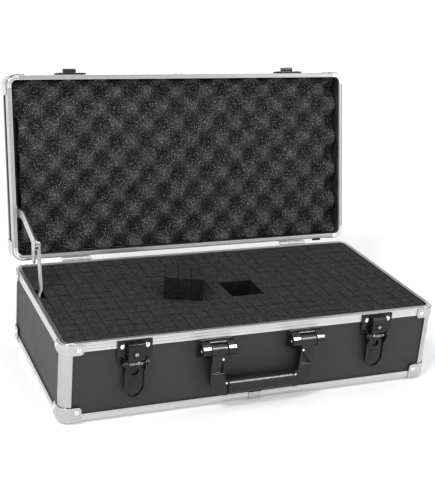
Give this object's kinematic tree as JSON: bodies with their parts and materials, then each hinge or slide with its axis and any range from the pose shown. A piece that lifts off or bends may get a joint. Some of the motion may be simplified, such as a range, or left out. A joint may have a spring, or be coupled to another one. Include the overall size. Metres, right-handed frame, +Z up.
{
  "type": "telescope carry case",
  "caption": "Aluminium-framed flight case with a hinged lid on a folding stay, lever latches, a drop handle and cubed foam with one block lifted out.",
  "frame": {"origin": "middle of the stored part's footprint, on the ground, lid open", "axes": "+X to the right seen from the front, +Y from the front to the hinges, +Z up"},
  "size_m": [0.4524, 0.325, 0.3171],
  "materials": {
    "satin_aluminium": "satin",
    "pressed_steel": "satin",
    "zinc_steel": "satin",
    "black_panel": "satin",
    "black_enamel": "gloss",
    "black_plastic": "satin",
    "dark_foam": "matte",
    "black_rubber": "matte"
  },
  "bodies": {
    "base": {"base_bottom_panel": "black_panel", "base_front_panel": "black_panel", "base_back_panel": "black_panel", "base_left_panel": "black_panel", "base_right_panel": "black_panel", "base_rim_rail": "satin_aluminium", "base_edge_rail": "satin_aluminium", "base_post_front_left": "satin_aluminium", "base_post_front_right": "satin_aluminium", "base_post_back_left": "satin_aluminium", "base_post_back_right": "satin_aluminium", "base_rim_bracket_front_left": "pressed_steel", "base_rim_bracket_front_right": "pressed_steel", "base_rim_bracket_back_left": "pressed_steel", "base_rim_bracket_back_right": "pressed_steel", "base_corner_cap_front_left": "pressed_steel", "base_corner_cap_front_right": "pressed_steel", "base_corner_cap_back_left": "pressed_steel", "base_corner_cap_back_right": "pressed_steel", "base_rail_joiner": "pressed_steel", "base_foam_pad": "dark_foam", "base_foam_lower": "dark_foam", "base_foam_upper": "dark_foam", "hinge_left_base_leaf": "zinc_steel", "hinge_left_pin": "zinc_steel", "hinge_right_base_leaf": "zinc_steel", "hinge_right_pin": "zinc_steel", "stay_base_bracket": "zinc_steel", "latch_left_body": "black_enamel", "latch_left_pin": "zinc_steel", "latch_right_body": "black_enamel", "latch_right_pin": "zinc_steel", "handle_bracket_left": "black_enamel", "handle_bracket_right": "black_enamel"},
    "lid": {"lid_rim_rail": "satin_aluminium", "lid_edge_rail": "satin_aluminium", "lid_side_band": "black_panel", "lid_top_panel": "black_panel", "lid_foam": "dark_foam", "lid_corner_cap_front_left": "pressed_steel", "lid_corner_cap_front_right": "pressed_steel", "lid_corner_cap_back_left": "pressed_steel", "lid_corner_cap_back_right": "pressed_steel", "lid_rail_joiner": "pressed_steel", "latch_left_catch": "zinc_steel", "latch_right_catch": "zinc_steel", "lid_rest_bumper": "black_rubber", "hinge_left_lid_leaf": "zinc_steel", "hinge_right_lid_leaf": "zinc_steel", "stay_lid_bracket": "zinc_steel"},
    "stay_lower": {"stay_lower_arm": "zinc_steel"},
    "stay_upper": {"stay_upper_arm": "zinc_steel"},
    "left_lever": {"latch_left_lever": "black_enamel"},
    "right_lever": {"latch_right_lever": "black_enamel"},
    "left_lock": {"latch_left_lock_cylinder": "zinc_steel"},
    "right_lock": {"latch_right_lock_cylinder": "zinc_steel"},
    "handle": {"handle_bail": "black_plastic", "handle_grip": "black_plastic"},
    "foam_block": {"foam_block": "dark_foam"}
  },
  "joints": [
    {"name": "lid_hinge", "type": "hinge", "parent": "base", "child": "lid", "pos_m": [0, 0.07607, 0.09415], "axis": [1, 0, 0], "range_deg": [0, 104], "deforming": ["foam_block"]},
    {"name": "stay_base_pivot", "type": "hinge", "parent": "base", "child": "stay_lower", "pos_m": [-0.21685, -0.01553, 0.084], "axis": [1, 0, 0], "range_deg": [0, 100.4]},
    {"name": "stay_lid_pivot", "type": "hinge", "parent": "lid", "child": "stay_upper", "pos_m": [-0.21685, 0.09884, 0.15237], "axis": [1, 0, 0], "range_deg": [-103.8, 0]},
    {"name": "left_latch_lever", "type": "hinge", "parent": "base", "child": "left_lever", "pos_m": [-0.1465, -0.15453, 0.068], "axis": [-1, 0, 0], "range_deg": [0, 180]},
    {"name": "right_latch_lever", "type": "hinge", "parent": "base", "child": "right_lever", "pos_m": [0.1465, -0.15453, 0.068], "axis": [-1, 0, 0], "range_deg": [0, 180]},
    {"name": "left_key_lock", "type": "hinge", "parent": "base", "child": "left_lock", "pos_m": [-0.1465, -0.15353, 0.079], "axis": [0, 1, 0], "range_deg": [0, 90]},
    {"name": "right_key_lock", "type": "hinge", "parent": "base", "child": "right_lock", "pos_m": [0.1465, -0.15353, 0.079], "axis": [0, 1, 0], "range_deg": [0, 90]},
    {"name": "handle_swing", "type": "hinge", "parent": "base", "child": "handle", "pos_m": [0, -0.15603, 0.074], "axis": [-1, 0, 0], "range_deg": [0, 95]},
    {"name": "foam_block_lift", "type": "slide", "parent": "base", "child": "foam_block", "axis": [0, 0, 1], "range_m": [0, 0.018]}
  ],
  "couplings": [
    {"joint": "stay_base_pivot", "follows": "lid_hinge", "ratio": 0.96469},
    {"joint": "stay_lid_pivot", "follows": "lid_hinge", "ratio": -0.99731}
  ]
}
